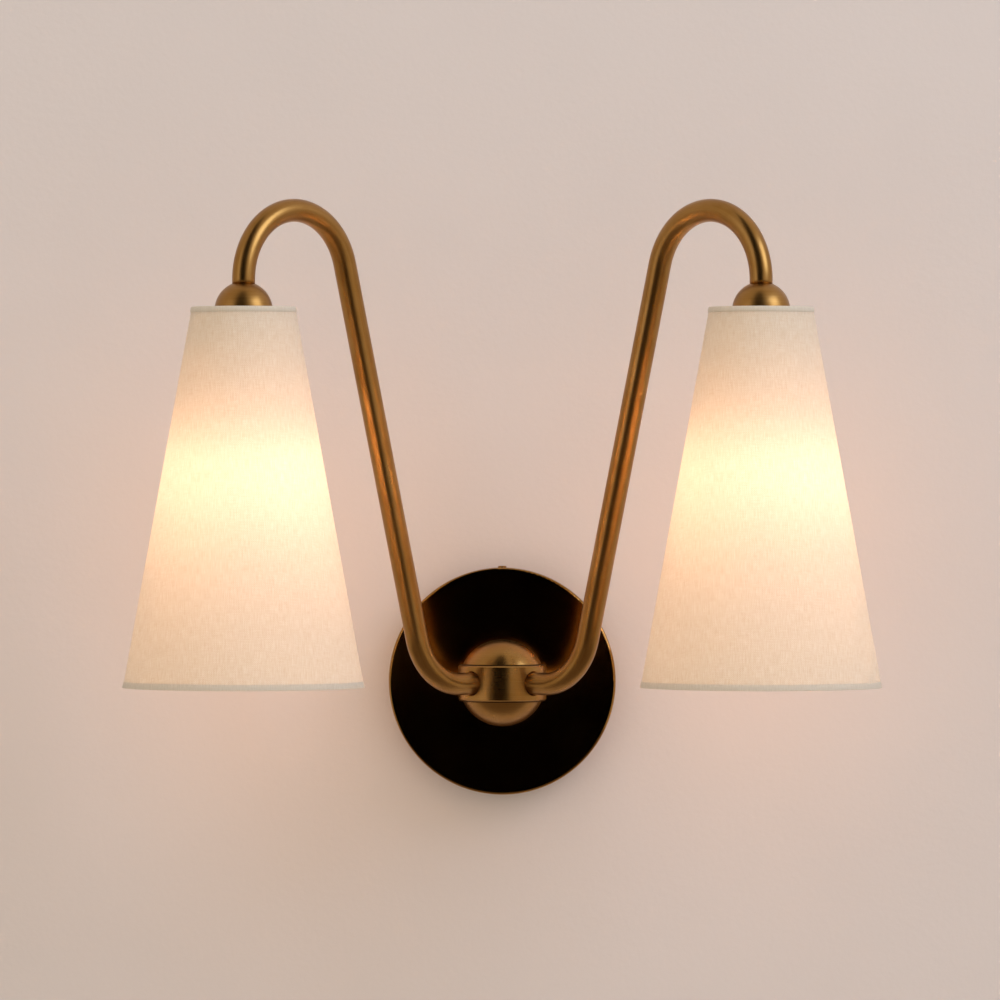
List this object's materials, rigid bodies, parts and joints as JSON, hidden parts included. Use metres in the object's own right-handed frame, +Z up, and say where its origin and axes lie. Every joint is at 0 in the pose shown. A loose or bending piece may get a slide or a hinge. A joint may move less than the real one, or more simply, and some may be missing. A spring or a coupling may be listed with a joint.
{
  "type": "double arm wall sconce",
  "caption": "Wall light with two bent brass tube arms rising from a round backplate, each carrying a downward conical linen shade.",
  "frame": {"origin": "centre of the round canopy on the wall plane", "axes": "+Z up, +Y into the wall, +X along the wall to the right as seen from the room"},
  "size_m": [0.4166, 0.2573, 0.3353],
  "materials": {
    "satin_brass": "satin, lightly aged",
    "zinc_steel": "zinc plated",
    "green_screw": "dyed",
    "connector_plastic": "moulded",
    "moulded_phenolic": "moulded",
    "nickel_shell": "drawn, nickel plated",
    "base_insulator": "black glass",
    "opal_glass": "opal",
    "linen": "plain weave on a stiff liner",
    "linen_edging": "folded self-fabric edging",
    "coated_wire": "white coating",
    "lead_insulation": "extruded"
  },
  "bodies": {
    "fixture": {"arm_left": "satin_brass", "arm_right": "satin_brass", "canopy": "satin_brass", "centre_contact_left": "nickel_shell", "centre_contact_right": "nickel_shell", "ground_screw": "green_screw", "holder_nipple_left": "zinc_steel", "holder_nipple_right": "zinc_steel", "hub_body": "satin_brass", "hub_cap_bottom": "satin_brass", "hub_cap_top": "satin_brass", "hub_collar": "satin_brass", "hub_nipple": "zinc_steel", "lampholder_left": "moulded_phenolic", "lampholder_right": "moulded_phenolic", "leads_left": "lead_insulation", "leads_right": "lead_insulation", "nipple_nut": "zinc_steel", "nipple_washer": "zinc_steel", "screw_shell_left": "nickel_shell", "screw_shell_right": "nickel_shell", "socket_cap_left": "satin_brass", "socket_cap_right": "satin_brass", "wall_bracket": "zinc_steel", "wire_connectors": "connector_plastic"},
    "set_screw": {"canopy_set_screw": "satin_brass"},
    "shade_assembly_left": {"shade_frame_left": "coated_wire", "shade_bottom_wire_left": "coated_wire", "shade_left": "linen", "shade_hem_top_left": "linen_edging", "shade_hem_bottom_left": "linen_edging"},
    "shade_clamp_left": {"shade_ring_left": "moulded_phenolic"},
    "bulb_left": {"bulb_base_left": "nickel_shell", "bulb_contact_left": "base_insulator", "bulb_glass_left": "opal_glass"},
    "shade_assembly_right": {"shade_frame_right": "coated_wire", "shade_bottom_wire_right": "coated_wire", "shade_right": "linen", "shade_hem_top_right": "linen_edging", "shade_hem_bottom_right": "linen_edging"},
    "shade_clamp_right": {"shade_ring_right": "moulded_phenolic"},
    "bulb_right": {"bulb_base_right": "nickel_shell", "bulb_contact_right": "base_insulator", "bulb_glass_right": "opal_glass"}
  },
  "joints": [
    {"name": "set_screw_turn", "type": "hinge", "parent": "fixture", "child": "set_screw", "pos_m": [0, -0.008, 0.0625], "axis": [0, 0, 1], "range_deg": [0, 1800]},
    {"name": "shade_turn_left", "type": "hinge", "parent": "fixture", "child": "shade_assembly_left", "pos_m": [-0.14178, -0.19078, 0.187], "axis": [0, 0, 1], "continuous": true},
    {"name": "shade_ring_turn_left", "type": "hinge", "parent": "fixture", "child": "shade_clamp_left", "pos_m": [-0.14178, -0.19078, 0.182], "axis": [0, 0, -1], "range_deg": [0, 3240]},
    {"name": "bulb_turn_left", "type": "hinge", "parent": "fixture", "child": "bulb_left", "pos_m": [-0.14178, -0.19078, 0.178], "axis": [0, 0, -1], "range_deg": [0, 1440]},
    {"name": "shade_turn_right", "type": "hinge", "parent": "fixture", "child": "shade_assembly_right", "pos_m": [0.14178, -0.19078, 0.187], "axis": [0, 0, 1], "continuous": true},
    {"name": "shade_ring_turn_right", "type": "hinge", "parent": "fixture", "child": "shade_clamp_right", "pos_m": [0.14178, -0.19078, 0.182], "axis": [0, 0, -1], "range_deg": [0, 3240]},
    {"name": "bulb_turn_right", "type": "hinge", "parent": "fixture", "child": "bulb_right", "pos_m": [0.14178, -0.19078, 0.178], "axis": [0, 0, -1], "range_deg": [0, 1440]}
  ]
}
